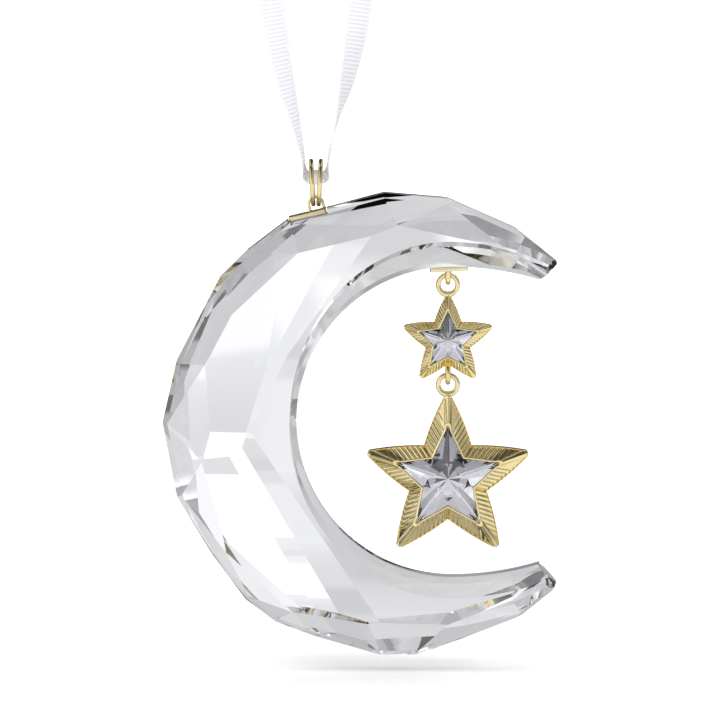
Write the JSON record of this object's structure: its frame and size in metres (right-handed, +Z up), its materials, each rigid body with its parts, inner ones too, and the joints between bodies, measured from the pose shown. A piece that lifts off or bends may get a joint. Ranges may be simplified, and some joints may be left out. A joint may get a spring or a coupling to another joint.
{
  "type": "moon ornament",
  "caption": "Hanging crescent of clear cut crystal on a ribbon loop, with gold-rimmed crystal stars linked below its upper horn.",
  "frame": {"origin": "hanging point: the top of the opening of the ribbon loop, just below the knot", "axes": "+Z up, +X to the viewer's right, towards the horns of the crescent, +Y away from the viewer through the crescent's thickness"},
  "size_m": [0.0657, 0.015, 0.1678],
  "materials": {
    "crystal": "cut and polished clear glass",
    "gold": "bright pale gold plating",
    "satin_gold": "soft pale gold plating",
    "star_stone": "cut and polished foil-backed glass",
    "foil": "mirror foil",
    "ribbon": "white ribbed weave"
  },
  "bodies": {
    "ribbon_loop": {"ribbon": "ribbon", "ribbon_knot": "ribbon", "ribbon_tail_left": "ribbon", "ribbon_tail_right": "ribbon"},
    "hanging_rings": {"hanging_ring_left": "gold", "hanging_ring_right": "gold"},
    "moon": {"crystal_moon": "crystal", "top_plate": "satin_gold", "top_eye": "gold", "horn_plate": "satin_gold", "horn_eye": "gold"},
    "small_star": {"small_star_setting": "gold", "small_star_foil": "foil", "small_star_crystal": "star_stone"},
    "large_star": {"large_star_setting": "gold", "large_star_foil": "foil", "large_star_crystal": "star_stone"}
  },
  "joints": [
    {"name": "rings_swing", "type": "hinge", "parent": "ribbon_loop", "child": "hanging_rings", "pos_m": [0, 0, -0.0652], "axis": [1, 0, 0], "range_deg": [-45, 45]},
    {"name": "moon_swing", "type": "hinge", "parent": "hanging_rings", "child": "moon", "pos_m": [0, 0, -0.0688], "axis": [0, -1, 0], "range_deg": [-30, 30]},
    {"name": "small_star_swing", "type": "hinge", "parent": "moon", "child": "small_star", "pos_m": [0.02198, 0, -0.08184], "axis": [0, -1, 0], "range_deg": [-10, 25]},
    {"name": "large_star_swing", "type": "hinge", "parent": "small_star", "child": "large_star", "pos_m": [0.02198, 0, -0.09734], "axis": [1, 0, 0], "range_deg": [-45, 45]}
  ]
}
